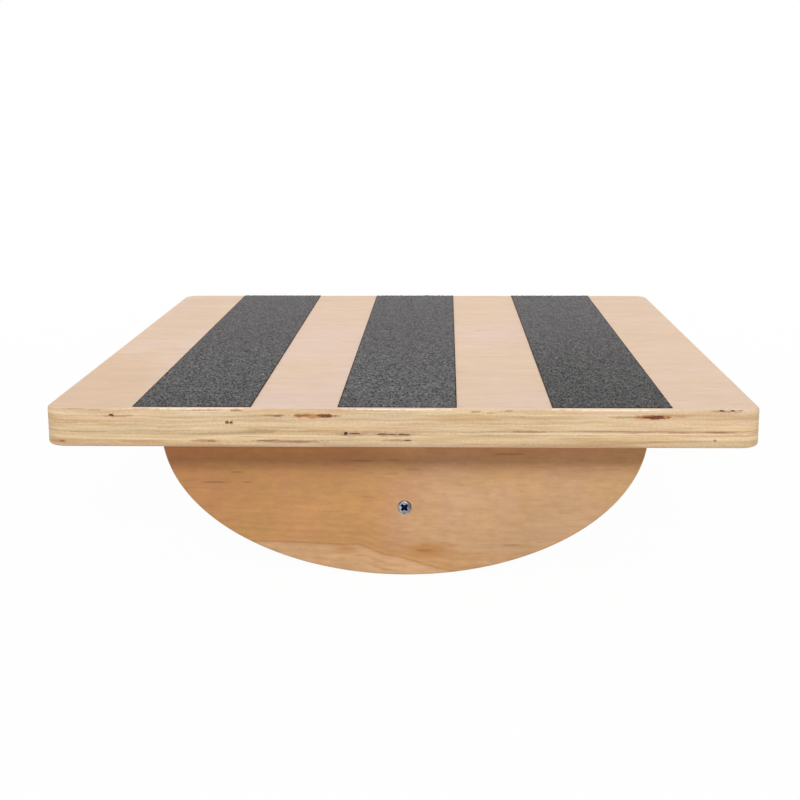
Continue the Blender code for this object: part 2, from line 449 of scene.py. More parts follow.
def deck_veneer():
    """Pale veneer with its grain along X: soft pink and cream areas, fine streaks, short pores."""
    wood = Finish("deck_veneer", Roughness=0.75, Specular_IOR_Level=0.2)
    drift = wood.noise((13.0, 9.0, 5.0), detail=4.0, roughness=0.6)
    tone = wood.mix(wood.band(drift, 0.38, 0.62), colour(235, 211, 195), colour(234, 209, 184))
    _, y, _ = wood.axes()
    tone = wood.mix(wood.band(y, -0.02, 0.19, 0.0, 0.5), tone, colour(236, 210, 184))
    # A duller patch at the front left corner
    patch = colour(227, 199, 170)
    tone = wood.mark(tone, (-0.165, -0.150, 0.094), (0.045, 0.11, 0.05), patch, 0.75)
    # Painted shade: the top is a little darker towards the front
    tone = wood.grey(tone, y, -0.2, -0.05, 0.94, 0.985)
    streak = wood.noise((15.0, 75.0, 15.0), detail=5.0, roughness=0.65, distortion=0.4)
    tone = wood.grey(tone, streak, 0.32, 0.68, 0.96, 1.025)
    fibre = wood.noise((110.0, 420.0, 90.0), detail=4.0, roughness=0.6)
    tone = wood.grey(tone, fibre, 0.3, 0.7, 0.965, 1.03)
    pores = wood.noise((55.0, 260.0, 55.0), shift=(3.0, 8.0, 1.0))
    tone = wood.mix(wood.band(pores, 0.64, 0.76, 0.0, 0.55), tone, colour(210, 175, 143))
    return wood.finish(tone, wood.bump(fibre, 0.00003, 0.5))


def ply_edge(name, axis, low, high, tones, marks=()):
    """The sawn edge of plywood. The plies are stacked along the axis, from low to high.

    Every second ply shows long streaks on the faces across Y and end grain on those across X,
    and the plies between them the other way round.
    """
    wood = Finish(name, Roughness=0.7)
    across = wood.axes()[axis]
    waver = wood.noise((14.0, 14.0, 14.0), detail=3.0)
    across = wood.reckon("ADD", across, wood.band(waver, 0.2, 0.8, -0.0003, 0.0003, smooth=False))
    share = wood.band(across, low, high, smooth=False)
    lines = ply_heights(low, high)
    starts = [0.0] + [(line - low) / (high - low) for line in lines]
    tone = wood.steps(share, list(zip(starts, tones)))
    turns = [WHITE if number % 2 else BLACK for number in range(PLY_COUNT)]
    crossed = wood.steps(share, list(zip(starts, turns)))

    # The grain inside each ply sways a little more than the ply itself
    sway = wood.noise((11.0, 11.0, 11.0), shift=(4.0, 6.0, 3.0), detail=4.0, roughness=0.6)
    drop = wood.node("CombineXYZ")
    wood.feed(drop.inputs[axis], wood.band(sway, 0.2, 0.8, -0.0016, 0.0016, smooth=False))
    bent = wood.node("VectorMath", operation="ADD")
    wood.feed(bent.inputs[0], wood.place)
    wood.feed(bent.inputs[1], drop.outputs["Vector"])

    def layered(along, between, shift=(0.0, 0.0, 0.0), detail=3.0):
        """Noise stretched along the plies: cycles per metre along them and between them."""
        scale = [along, along, along]
        scale[axis] = between
        return wood.noise(scale, detail, 0.6, shift=shift, source=bent.outputs["Vector"])

    # Pink and straw-coloured stretches in each ply
    pink = wood.band(layered(12.0, 330.0), 0.50, 0.64)
    tone = wood.mix(wood.times(pink, 0.35), tone, colour(210, 174, 144))
    straw = wood.band(layered(15.0, 300.0, shift=(9.0, 4.0, 2.0)), 0.50, 0.66)
    tone = wood.mix(wood.times(straw, 0.55), tone, colour(211, 181, 131))
    wide = layered(16.0, 380.0, shift=(2.0, 5.0, 1.0))
    tone = wood.grey(tone, wide, 0.32, 0.68, 0.97, 1.06)
    tone = wood.mix(wood.band(wide, 0.30, 0.52, 0.8, 0.0), tone, WARM_SHADE, kind="MULTIPLY")
    streak = layered(26.0, 900.0, detail=5.0)
    fine = layered(42.0, 1500.0, shift=(8.0, 3.0, 5.0), detail=4.0)
    tone = wood.grey(tone, fine, 0.32, 0.68, 0.945, 1.045)
    fuzz = wood.noise((760.0, 760.0, 760.0), shift=(2.0, 7.0, 3.0), detail=3.0, roughness=0.7)
    tone = wood.grey(tone, fuzz, 0.34, 0.66, 0.955, 1.045)
    tone = wood.mix(wood.band(streak, 0.34, 0.52, 0.7, 0.0), tone, WARM_SHADE, kind="MULTIPLY")
    dots = wood.cells((1100.0, 1100.0, 1100.0), output="Distance")
    dotted = wood.band(dots, 0.1, 0.9, 0.93, 1.04)
    end_grain = wood.times(dotted, wood.band(streak, 0.34, 0.66, 0.93, 1.05))
    long_grain = wood.band(streak, 0.34, 0.66, 0.94, 1.07)
    sideways = wood.band(wood.reckon("ABSOLUTE", wood.axes(wood.turned)[0]), 0.45, 0.85)
    turned = wood.reckon("ABSOLUTE", wood.reckon("SUBTRACT", crossed, sideways))
    tone = wood.grey(tone, turned, 0.0, 1.0, long_grain, end_grain, smooth=False)
    # Thin brown and pale lines, short dark gaps
    brown = layered(19.0, 640.0, shift=(1.0, 2.0, 6.0), detail=4.0)
    tone = wood.mix(wood.band(brown, 0.60, 0.74, 0.0, 0.75), tone, colour(178, 138, 98))
    pale = layered(17.0, 600.0, shift=(6.0, 9.0, 2.0), detail=4.0)
    tone = wood.mix(wood.band(pale, 0.60, 0.74, 0.0, 0.55), tone, colour(233, 210, 170))
    flecks = layered(75.0, 760.0, shift=(5.0, 1.0, 8.0), detail=2.0)
    tone = wood.mix(wood.band(flecks, 0.69, 0.78, 0.0, 0.7), tone, colour(140, 98, 62))
    # Glue lines come and go along the edge
    beyond = wood.reckon("SUBTRACT", across, lines[0])
    beyond = wood.reckon("DIVIDE", beyond, lines[1] - lines[0])
    beyond = wood.reckon("SUBTRACT", beyond, wood.reckon("ROUND", beyond))
    line = wood.band(wood.reckon("ABSOLUTE", beyond), 0.02, 0.13, 1.0, 0.0)
    here = wood.band(wood.noise((24.0, 24.0, 24.0), shift=(7.0, 1.0, 4.0), detail=3.0), 0.42, 0.62)
    line = wood.times(line, wood.times(here, 0.26))
    tone = wood.mix(line, tone, colour(158, 120, 84))
    ragged = wood.band(layered(300.0, 1300.0), 0.3, 0.7, -0.3, 0.3)
    for place, size, stain, strength in marks:
        tone = wood.mark(tone, place, size, stain, strength, ragged)
    return wood.finish(tone, wood.bump(streak, 0.00008, 0.6))


def spots(marks, front, low=0.0):
    """Marks listed in millimetres, as places, half sizes, colours and strengths on a face."""
    return [
        ((x * MM, front, low + height * MM), (half * MM, MARK_DEPTH, tall * MM), stain, strength)
        for x, height, half, tall, stain, strength in marks
    ]


def rocker_veneer(name, marks, flip):
    """Softwood veneer with its grain along X, a low arch of growth lines and one small knot."""
    wood = Finish(name, Roughness=0.5)
    # The grain runs the same way on each outer face, as it is looked at
    board = wood.place
    wood.place = wood.spread((flip, 1.0, 1.0))
    x, _, z = wood.axes()
    drift = wood.noise((26.0, 26.0, 34.0), detail=4.0, roughness=0.6)
    drift = wood.band(drift, 0.38, 0.62)
    warm = wood.mix(drift, colour(187, 135, 90), colour(184, 139, 84))
    pale = wood.mix(drift, colour(194, 156, 118), colour(190, 152, 105))
    sway = wood.noise((14.0, 14.0, 22.0), shift=(3.0, 1.0, 2.0), detail=3.0)
    beside = wood.reckon("ADD", x, wood.band(sway, 0.2, 0.8, -0.035, 0.035, smooth=False))
    tone = wood.mix(wood.band(beside, -0.035, 0.03), warm, pale)
    # The veneer is redder and darker towards the top, a painted shadow under the deck's overhang,
    # and darker and warmer at one end
    tone = wood.mix(wood.band(z, 0.045, 0.075, 0.0, 0.4), tone, colour(177, 126, 80))
    tone = wood.mix(wood.band(z, 0.044, 0.068), tone, colour(240, 227, 210), kind="MULTIPLY")
    end = wood.band(x, -0.105, -0.045, 1.0, 0.0)
    tone = wood.mix(end, tone, colour(243, 241, 228), kind="MULTIPLY")
    # Painted light: that painted shadow eases off in the strip next to the deck, less so at one end
    paler = wood.band(x, 0.05, 0.10, 1.25, 1.12)
    tone = wood.grey(tone, z, 0.0590, 0.0665, 0.99, paler)
    # Growth lines follow one arch that is nearly level at the left, then drops in two steps
    above = wood.reckon("SUBTRACT", z, ARCH_HEIGHT)
    for start, end, drop in ARCH_DROPS:
        above = wood.reckon("ADD", above, wood.band(x, start, end, 0.0, drop))
    ripple = wood.noise((26.0, 26.0, 60.0), detail=3.0)
    above = wood.reckon("ADD", above, wood.band(ripple, 0.2, 0.8, -0.0010, 0.0010, smooth=False))
    inside = wood.band(above, -0.0007, 0.0007, 1.0, 0.0)
    tone = wood.mix(wood.times(inside, 0.65), tone, colour(205, 168, 127))
    near = wood.band(above, 0.0, 0.010, 0.6, 0.0)
    near = wood.times(near, wood.band(above, -0.0005, 0.0005))
    tone = wood.mix(near, tone, colour(187, 141, 88))
    ridge = wood.band(wood.reckon("ABSOLUTE", above), 0.0, 0.0010, 0.60, 0.0)
    tone = wood.mix(ridge, tone, colour(172, 118, 70))
    rings = wood.reckon("SINE", wood.times(above, 1750.0))
    fade = wood.band(wood.reckon("ABSOLUTE", above), 0.002, 0.024, 0.045, 0.006)
    tone = wood.grey(tone, wood.reckon("ADD", 1.0, wood.times(rings, fade)))
    streak = wood.noise((11.0, 11.0, 170.0), 5.0, 0.66, distortion=0.3)
    tone = wood.grey(tone, streak, 0.32, 0.68, 0.968, 1.026)
    mottle = wood.noise((150.0, 150.0, 330.0), detail=5.0, roughness=0.75)
    tone = wood.grey(tone, mottle, 0.34, 0.66, 0.93, 1.065)
    patches = wood.noise((34.0, 34.0, 60.0), shift=(6.0, 2.0, 5.0), detail=3.0)
    tone = wood.grey(tone, patches, 0.34, 0.66, 0.955, 1.04)
    fibre = wood.noise((70.0, 70.0, 1100.0), detail=3.0)
    tone = wood.grey(tone, fibre, 0.3, 0.7, 0.965, 1.035)
    dashes = wood.noise((75.0, 75.0, 620.0), shift=(1.0, 4.0, 9.0))
    tone = wood.mix(wood.band(dashes, 0.66, 0.78, 0.0, 0.5), tone, colour(160, 108, 66))
    wood.place = board
    ragged = wood.band(wood.noise((130.0, 130.0, 520.0)), 0.3, 0.7, -0.22, 0.22)
    for place, size, stain, strength in marks:
        tone = wood.mark(tone, place, size, stain, strength, ragged if stain == RESIN else None)
    return wood.finish(tone, wood.bump(fibre, 0.00003, 0.5))


def turned_beech():
    """A pale round bar with its grain along Y and fine short flecks."""
    wood = Finish("turned_beech", Roughness=0.55)
    rings = wood.noise((160.0, 5.0, 160.0), detail=3.0, distortion=0.4)
    tone = wood.mix(wood.band(rings, 0.35, 0.65), colour(214, 176, 134), colour(224, 190, 150))
    fibre = wood.noise((1500.0, 40.0, 1500.0), detail=3.0)
    tone = wood.grey(tone, fibre, 0.3, 0.7, 0.96, 1.03)
    flecks = wood.noise((900.0, 110.0, 900.0), shift=(5.0, 2.0, 7.0), detail=1.0)
    tone = wood.mix(wood.band(flecks, 0.66, 0.76, 0.0, 0.5), tone, colour(170, 124, 84))
    return wood.finish(tone, wood.bump(fibre, 0.00004, 0.5))


def mineral_grit(film_top, top):
    """Dark grey mineral grains, each with its own tone, set in black resin, with painted shade in
    the hollows between them.
    """
    grit = Finish(
        "mineral_grit",
        Roughness=0.85,
        Specular_IOR_Level=0.3,
        Sheen_Weight=0.3,
        Sheen_Roughness=0.5,
    )
    grains = grit.band(grit.axes(grit.cells((1000.0, 620.0, 250.0)))[0], 0.0, 1.0, smooth=False)
    clumps = grit.noise((820.0, 430.0, 100.0), detail=3.0, roughness=0.7)
    tone = grit.mix(grains, colour(16, 18, 20), colour(132, 135, 137))
    tone = grit.grey(tone, clumps, 0.36, 0.64, 0.26, 1.74, smooth=False)
    x, y, height = grit.axes()
    # The strips are more even towards the rear, and paler and a little more purple there, a painted
    # sheen
    drift = grit.noise((150.0, 50.0, 50.0), shift=(2.0, 5.0, 1.0), detail=3.0)
    even_sheen_tone = grit.mix(grit.band(drift, 0.38, 0.62), colour(83, 81, 83), colour(90, 87, 90))
    tone = grit.mix(grit.band(y, -0.15, 0.06, 0.0, 0.68), tone, even_sheen_tone)
    tone = grit.grey(tone, y, -0.2, 0.2, 0.78, 1.48, smooth=False)
    # Darker down between the grains and lighter on their tops: the black resin, and painted shade
    # in the hollows
    tone = grit.grey(tone, height, film_top, top, 0.55, 1.25, smooth=False)
    # The right-hand strip is darker at its front end, and the left-hand one a little
    left = grit.band(x, -0.07, -0.04, 0.14, 0.0)
    right = grit.band(x, 0.04, 0.07, 0.0, 0.55)
    near = grit.band(y, -0.18, 0.10, 1.0, 0.0)
    dark = grit.times(grit.reckon("ADD", left, right), near)
    tone = grit.grey(tone, grit.reckon("SUBTRACT", 1.0, dark))
    return grit.finish(tone)


def strip_film():
    """The plain film under the grit, seen at the strips' cut edges, greyer towards the rear."""
    film = Finish("strip_film", Roughness=0.8, Specular_IOR_Level=0.1)
    speck = film.noise((700.0, 700.0, 700.0))
    tone = film.mix(speck, colour(50, 40, 38), colour(70, 57, 53))
    tone = film.mix(film.band(film.axes()[1], -0.15, 0.15, 0.0, 0.8), tone, colour(92, 86, 86))
    return film.finish(tone)


def zinc_plate():
    """Blue-white zinc with soft cloudy patches."""
    zinc = Finish("zinc_plate", Roughness=0.34, Metallic=0.9)
    cloud = zinc.noise((330.0, 330.0, 330.0), shift=(0.3, 0.0, 0.2))
    tone = zinc.mix(zinc.band(cloud, 0.36, 0.64), colour(104, 110, 130), colour(196, 202, 218))
    rough = zinc.band(cloud, 0.3, 0.7, 0.24, 0.42)
    return zinc.finish(tone, zinc.bump(cloud, 0.00002, 0.4), rough)


def shaded_recess_steel():
    """The inside of the cross recess, painted nearly black as shade."""
    steel = Finish("shaded_recess_steel", Roughness=0.6, Metallic=0.6)
    speck = steel.noise((1500.0, 1500.0, 1500.0))
    return steel.finish(steel.mix(speck, colour(14, 16, 20), colour(34, 36, 42)))


# Cutters for holes


def round_cutter(name, radius, start, end, sides=HOLE_STEPS):
    """A cylinder between two points on one line along an axis."""
    start = Vector(start)
    end = Vector(end)
    run = end - start
    turn = run.to_track_quat("Z", "Y").to_euler()
    bpy.ops.mesh.primitive_cylinder_add(
        vertices=sides, radius=radius, depth=run.length, location=(start + end) / 2, rotation=turn
    )
    return new_piece(name)


def countersink_cutter(face, inward, reach, room):
    """A countersunk screw hole: a wide mouth at the face, a cone, then a straight hole."""
    face = Vector(face)
    inward = Vector(inward)
    wide = SCREW_HEAD_RADIUS + room
    narrow = SCREW_THREAD_RADIUS + FIT
    turn = (-inward).to_track_quat("Z", "Y").to_euler()
    cone_depth = wide - narrow
    middle = face + inward * (SCREW_RIM + cone_depth / 2)
    bpy.ops.mesh.primitive_cone_add(
        vertices=SCREW_STEPS,
        radius1=narrow,
        radius2=wide,
        depth=cone_depth,
        location=middle,
        rotation=turn,
    )
    cutter = new_piece("countersink")
    edit(cutter)
    pick(cutter, "FACE", lambda face: face.normal.dot(inward) < -SQUARE)
    extrude(-inward * (SCREW_RIM + OVERRUN))
    pick(cutter, "FACE", lambda face: face.normal.dot(inward) > SQUARE)
    extrude(inward * reach)
    object_mode()
    return cutter


def dowel_cutters(end):
    """The blind holes of the two dowel pins at an end."""
    cutters = []
    for side in ("left", "right"):
        low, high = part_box(f"dowel_{end}_{side}")
        x = (low.x + high.x) / 2
        y = (low.y + high.y) / 2
        radius = (high.x - low.x) / 2 + FIT
        ends = (x, y, low.z - FIT), (x, y, high.z + FIT)
        cutters.append(round_cutter("dowel_hole", radius, *ends))
    return cutters


def farthest(low, high):
    """How far from the board's middle a box reaches along Y."""
    return max(abs(low.y), abs(high.y))


def nearest(low, high):
    return min(abs(low.y), abs(high.y))


def screw_line(node):
    """The middle of a deck screw: its X, its Y and the height of its head."""
    low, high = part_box(node)
    return (low.x + high.x) / 2, (low.y + high.y) / 2, high.z


def deck_screws(end):
    return [f"deck_screw_{end}_{side}" for side in STRIP_TURNS]


# Deck


def void_cutters(front, low):
    """The small gaps between veneers that show in the deck's front edge."""
    cutters = []
    for x, height, half, tall in FRONT_VOIDS:
        place = (x * MM, front, low + height * MM)
        bpy.ops.mesh.primitive_ico_sphere_add(subdivisions=2, radius=1, location=place)
        cutters.append(new_piece("void", (half * MM, VOID_DEPTH, tall * MM)))
    return cutters


def make_deck(veneer, edge):
    low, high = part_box("deck")
    bpy.ops.mesh.primitive_cube_add(size=1, location=(low + high) / 2)
    deck = new_piece("deck_plywood", high - low)
    edit(deck)
    pick(deck, "EDGE", lambda e: abs(e.verts[0].co.z - e.verts[1].co.z) > TINY)
    bpy.ops.mesh.bevel(offset=DECK_CORNER_RADIUS, segments=CORNER_STEPS)
    pick(deck, "EDGE", rim(2))
    bpy.ops.mesh.bevel(offset=DECK_EDGE_RADIUS, segments=EDGE_STEPS)
    groove_glue_lines(deck, 2, ply_heights(low.z, high.z))
    object_mode()
    cutters = void_cutters(low.y, low.z)
    for end in ENDS:
        cutters += dowel_cutters(end)
        for node in deck_screws(end):
            x, y, top = screw_line(node)
            hole = (x, y, top), (0.0, 0.0, -1.0), SCREW_LENGTH, DECK_HEAD_ROOM
            cutters.append(countersink_cutter(*hole))
    cut_with(deck, cutters)
    put_outward(deck, DECK_MERGE)
    smooth(deck)
    dress(deck, [veneer, edge], lambda face: abs(face.normal.z) <= VENEER_SQUARE)
    keep(deck, "deck_plywood", "deck")


# Rockers


def make_rocker(end, veneer, edge):
    low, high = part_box("rocker_" + end)
    bpy.ops.mesh.primitive_circle_add(
        vertices=ROCKER_STEPS,
        radius=1,
        fill_type="NGON",
        location=((low.x + high.x) / 2, low.y, high.z),
        rotation=(radians(90), 0.0, 0.0),
    )
    size = ((high.x - low.x) / 2, high.z - low.z, 1.0)
    rocker = new_piece("rocker_plywood_" + end, size)
    edit(rocker)
    select_all()
    bpy.ops.mesh.bisect(plane_co=(0, 0, high.z), plane_no=(0, 0, 1), clear_outer=True)
    select_all()
    extrude((0.0, high.y - low.y, 0.0))
    select_all()
    face_outward()
    pick(rocker, "EDGE", rim(1))
    bpy.ops.mesh.bevel(offset=ROCKER_EDGE_RADIUS, segments=EDGE_STEPS)
    groove_glue_lines(rocker, 1, ply_heights(low.y, high.y))
    object_mode()
    cut_with(rocker, rocker_cutters(end, low, high))
    put_outward(rocker)
    smooth(rocker)
    dress(rocker, [veneer, edge], lambda face: abs(face.normal.y) <= VENEER_SQUARE)
    keep(rocker, "rocker_plywood", "rocker_" + end)


def rocker_cutters(end, low, high):
    """The crossbar's socket, the countersunk screw hole and the holes in the rocker's top."""
    side = ENDS[end]
    bar_low, bar_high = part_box("crossbar")
    x = (bar_low.x + bar_high.x) / 2
    z = (bar_low.z + bar_high.z) / 2
    radius = (bar_high.z - bar_low.z) / 2 + FIT
    mouth = side * (nearest(low, high) - TINY * 10)
    bottom = side * (bar_high.y + FIT)
    head = (x + ROCKER_HEAD_SHIFT, side * farthest(*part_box("crossbar_screw_" + end)), z)
    inward = (0.0, -side, 0.0)
    cutters = [
        round_cutter("socket", radius, (x, mouth, z), (x, bottom, z), CROSSBAR_STEPS),
        countersink_cutter(head, inward, ROCKER_HOLE_REACH, ROCKER_HEAD_ROOM),
    ]
    for node in deck_screws(end):
        x, y, top = screw_line(node)
        radius = SCREW_THREAD_RADIUS + FIT
        bottom = top - SCREW_LENGTH - FIT
        cutters.append(round_cutter("pilot_hole", radius, (x, y, bottom), (x, y, high.z + FIT)))
    return cutters + dowel_cutters(end)


# Crossbar, dowel pins and screws


def make_crossbar(material):
    low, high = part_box("crossbar")
    middle = (low + high) / 2
    ends = [(middle.x, low.y, middle.z), (middle.x, high.y, middle.z)]
    bar = round_cutter("crossbar_turned", (high.z - low.z) / 2, *ends, CROSSBAR_STEPS)
    edit(bar)
    pick(bar, "EDGE", rim(1))
    bpy.ops.mesh.bevel(offset=CROSSBAR_ROUNDING, segments=3)
    object_mode()
    cutters = []
    for end, side in ENDS.items():
        tip = (middle.x, side * nearest(*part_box("crossbar_screw_" + end)), middle.z)
        mouth = (middle.x, side * (high.y + FIT), middle.z)
        cutters.append(round_cutter("pilot_hole", SCREW_THREAD_RADIUS + FIT, tip, mouth))
    cut_with(bar, cutters)
    put_outward(bar)
    smooth(bar)
    dress(bar, [material])
    keep(bar, "crossbar_wood", "crossbar")


def make_dowel(node, material):
    """A fluted dowel pin with chamfered ends."""
    low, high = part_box(node)
    middle = (low + high) / 2
    ends = (middle.x, middle.y, low.z), (middle.x, middle.y, high.z)
    dowel = round_cutter(node + "_pin", (high.x - low.x) / 2, *ends, DOWEL_STEPS)
    edit(dowel)
    pick(dowel, "EDGE", rim(2))
    bpy.ops.mesh.bevel(offset=DOWEL_CHAMFER, segments=1)

    def in_flute(vertex):
        turn = atan2(vertex.co.y - middle.y, vertex.co.x - middle.x)
        return round(turn / tau * DOWEL_STEPS) % FLUTE_STEPS == 0

    pick(dowel, "VERT", in_flute)
    resize(FLUTE_SHARE, middle)
    put_outward(dowel)
    smooth(dowel, 20)
    dress(dowel, [material])
    keep(dowel, "dowel_wood", node)


def make_screw_pattern(zinc, dark):
    """One screw, its head's face at the origin, pointing down: cone head, shank, thread and tip."""
    levels = [
        (SCREW_HEAD_RADIUS, -SCREW_RIM),
        (SCREW_NECK_RADIUS, -SCREW_RIM - (SCREW_HEAD_RADIUS - SCREW_NECK_RADIUS)),
        (SCREW_NECK_RADIUS, -SCREW_PLAIN_LENGTH),
        (SCREW_CORE_RADIUS, -SCREW_PLAIN_LENGTH - SCREW_PITCH / 2),
        (SCREW_CORE_RADIUS, -SCREW_LENGTH + SCREW_TIP_LENGTH),
        (SCREW_TIP_RADIUS, -SCREW_LENGTH),
    ]
    bpy.ops.mesh.primitive_circle_add(
        vertices=SCREW_STEPS, radius=SCREW_HEAD_RADIUS, fill_type="NGON"
    )
    screw = new_piece("screw_pattern")
    edit(screw)
    select_all()
    radius, height = SCREW_HEAD_RADIUS, 0.0
    for next_radius, next_height in levels:
        extrude((0.0, 0.0, next_height - height))
        resize(next_radius / radius, (0.0, 0.0, next_height))
        radius, height = next_radius, next_height
    select_all()
    face_outward()
    pick(screw, "EDGE", lambda e: all(v.co.z > -TINY for v in e.verts))
    bpy.ops.mesh.bevel(offset=HEAD_ROUNDING, segments=HEAD_STEPS)
    put_outward(screw)
    cut_with(screw, recess_cutters())

    def in_recess(face):
        inside = face.center.xy.length < RECESS_REACH and face.center.z > -RECESS_BOTTOM
        return inside and not (face.normal.z > SQUARE and face.center.z > -TINY * 3)

    # The recess takes the near-black steel: painted shade
    dress(screw, [zinc, dark], in_recess)
    thread = make_thread()
    dress(thread, [zinc])
    only(thread)
    screw.select_set(True)
    bpy.context.view_layer.objects.active = screw
    bpy.ops.object.join()
    smooth(screw, 30)
    return screw


def recess_cutters():
    """Two crossing wings with a cone between them, all narrower at the bottom."""
    cutters = []
    height = RECESS_DEPTH + OVERRUN
    middle = OVERRUN - height / 2
    for turn in (45, 135):
        bpy.ops.mesh.primitive_cube_add(
            size=1, location=(0.0, 0.0, middle), rotation=(0.0, 0.0, radians(turn))
        )
        wing = new_piece("wing", (RECESS_LENGTH, RECESS_WIDTH, height))
        edit(wing)
        pick(wing, "FACE", lambda face: face.normal.z < -SQUARE)
        resize(RECESS_TAPER, (0.0, 0.0, -RECESS_DEPTH))
        object_mode()
        cutters.append(wing)
    bpy.ops.mesh.primitive_cone_add(
        vertices=8,
        radius1=CORE_BOTTOM_RADIUS,
        radius2=CORE_TOP_RADIUS,
        depth=height,
        location=(0.0, 0.0, middle - CORE_DROP),
        rotation=(0.0, 0.0, radians(22.5)),
    )
    cutters.append(new_piece("core"))
    return cutters


def make_thread():
    """A three-sided ridge wound round the shank."""
    wound = SCREW_LENGTH - SCREW_TIP_LENGTH - SCREW_PLAIN_LENGTH
    turns = int(wound / SCREW_PITCH)
    middle = SCREW_THREAD_RADIUS - THREAD_HALF_HEIGHT
    bpy.ops.mesh.primitive_circle_add(
        vertices=3,
        radius=1,
        location=(middle, 0.0, -SCREW_PLAIN_LENGTH - turns * SCREW_PITCH),
        rotation=(radians(90), radians(90), 0.0),
    )
    thread = new_piece("thread", (THREAD_HALF_WIDTH, THREAD_HALF_HEIGHT, 1.0))
    winding = thread.modifiers.new("winding", "SCREW")
    winding.screw_offset = SCREW_PITCH
    winding.iterations = turns
    winding.steps = THREAD_STEPS
    winding.render_steps = THREAD_STEPS
    winding.use_merge_vertices = False
    apply_modifier(thread, winding)
    edit(thread)
    select_all()
    bpy.ops.mesh.remove_doubles(threshold=MERGE)
    bpy.ops.mesh.select_all(action="DESELECT")
    bpy.ops.mesh.select_mode(type="EDGE")
    bpy.ops.mesh.select_non_manifold()
    bpy.ops.mesh.fill()
    select_all()
    face_outward()
    object_mode()
    return thread


def place_screw(pattern, node, head, inward, turn):
    """A copy of the screw, its head's face at a place, turned about its own length."""
    only(pattern)
    bpy.ops.object.duplicate()
    screw = bpy.context.object
    aim = (-Vector(inward)).to_track_quat("Z", "Y").to_matrix().to_4x4()
    screw.matrix_world = Matrix.Translation(head) @ aim @ Matrix.Rotation(turn, 4, "Z")
    screw.name = node + "_zinc"
    screw.data.name = screw.name
    settle(screw)
    keep(screw, "screw_steel", node)


def make_screws(zinc, dark):
    pattern = make_screw_pattern(zinc, dark)
    turn = 0.0
    for end, side in ENDS.items():
        node = "crossbar_screw_" + end
        low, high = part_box(node)
        depth = farthest(low, high) - HEAD_SINK
        head = Vector(((low.x + high.x) / 2, side * depth, (low.z + high.z) / 2))
        place_screw(pattern, node, head, (0.0, -side, 0.0), turn)
        for node in deck_screws(end):
            turn += SCREW_TURN
            place_screw(pattern, node, Vector(screw_line(node)), (0.0, 0.0, -1.0), turn)
    bpy.data.objects.remove(pattern, do_unlink=True)


# Grip strips


def shake(offset, seed):
    """Moves each selected point at random, by no more than the offset."""
    bpy.ops.transform.vertex_random(offset=offset, uniform=0.6, normal=0.0, seed=seed)


def make_strip(name, grit, film):
    """A film with a bed of grit: a fine grid raised into sharp grains, with plain cut sides."""
    node = "grip_strip_" + name
    low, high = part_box(node)
    middle = (low + high) / 2
    film_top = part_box("deck")[1].z + FILM_THICKNESS
    bpy.ops.mesh.primitive_grid_add(
        x_subdivisions=round(STRIP_WIDTH / GRIT_SPACING),
        y_subdivisions=round(STRIP_LENGTH / GRIT_SPACING),
        size=1,
        location=(middle.x, middle.y, film_top),
        rotation=(0.0, 0.0, STRIP_TURNS[name]),
    )
    strip = new_piece(node + "_grit", (STRIP_WIDTH, STRIP_LENGTH, 1.0))
    edit(strip)
    select_all()
    shake(CUT_JITTER, len(name))
    pick(strip, "VERT", lambda vertex: not vertex.is_boundary)
    shake(GRIT_JITTER, len(name))
    object_mode()
    inside = strip.vertex_groups.new(name="grit")
    inside.add([vertex.index for vertex in strip.data.vertices if vertex.select], 1.0, "REPLACE")
    pattern = bpy.data.textures.new(node + "_grains", "VORONOI")
    pattern.noise_scale = GRIT_GRAIN
    pattern.weight_1 = -1.0
    pattern.weight_2 = 1.0
    grains = strip.modifiers.new("grains", "DISPLACE")
    grains.texture = pattern
    grains.texture_coords = "LOCAL"
    grains.direction = "Z"
    grains.strength = GRIT_HEIGHT
    grains.mid_level = GRIT_SINK
    grains.vertex_group = inside.name
    apply_modifier(strip, grains)
    edit(strip)
    bpy.ops.mesh.select_mode(type="EDGE")
    bpy.ops.mesh.select_non_manifold()
    drop = (0.0, 0.0, TINY - FILM_THICKNESS)
    bpy.ops.mesh.extrude_edges_move(TRANSFORM_OT_translate={"value": drop})
    bpy.ops.mesh.edge_face_add()
    put_outward(strip)
    bare = {vertex.index for vertex in strip.data.vertices if not vertex.groups}
    dress(strip, [grit, film], lambda face: sum(index in bare for index in face.vertices) > 1)
    keep(strip, "grip_strip", node)


# Stage, light and camera


def seen_by_camera(nodes):
    """1 for camera, glossy and transmission rays, else 0."""
    rays = nodes.node("LightPath").outputs
    seen = nodes.reckon("MAXIMUM", rays["Is Camera Ray"], rays["Is Glossy Ray"])
    return nodes.reckon("MAXIMUM", seen, rays["Is Transmission Ray"])


def pale_floor():
    """Grey paint that the lamps light, under a white that only the camera and reflections see."""
    floor = Finish("pale_floor")
    paint = floor.node("BsdfDiffuse")
    paint.inputs["Color"].default_value = FLOOR_TONE
    glow = floor.node("Emission")
    away = floor.node("VectorMath", operation="LENGTH")
    floor.feed(away.inputs[0], floor.place)
    white = floor.band(away.outputs["Value"], *FLOOR_FADE, FLOOR_GLOW, 1.0, smooth=False)
    mix = floor.node("MixShader")
    floor.feed(mix.inputs["Fac"], floor.times(seen_by_camera(floor), white))
    floor.feed(mix.inputs[1], paint.outputs["BSDF"])
    floor.feed(mix.inputs[2], glow.outputs["Emission"])
    floor.feed(floor.tree.nodes["Material Output"].inputs["Surface"], mix.outputs["Shader"])
    floor.tree.nodes.remove(floor.shader)
    return floor.material


def make_stage():
    """A pale floor that reads as white to the camera and keeps a faint shadow."""
    bpy.ops.mesh.primitive_plane_add(size=FLOOR_SIZE, location=(0.0, 0.0, -FLOOR_DROP))
    floor = new_piece("floor")
    dress(floor, [pale_floor()])


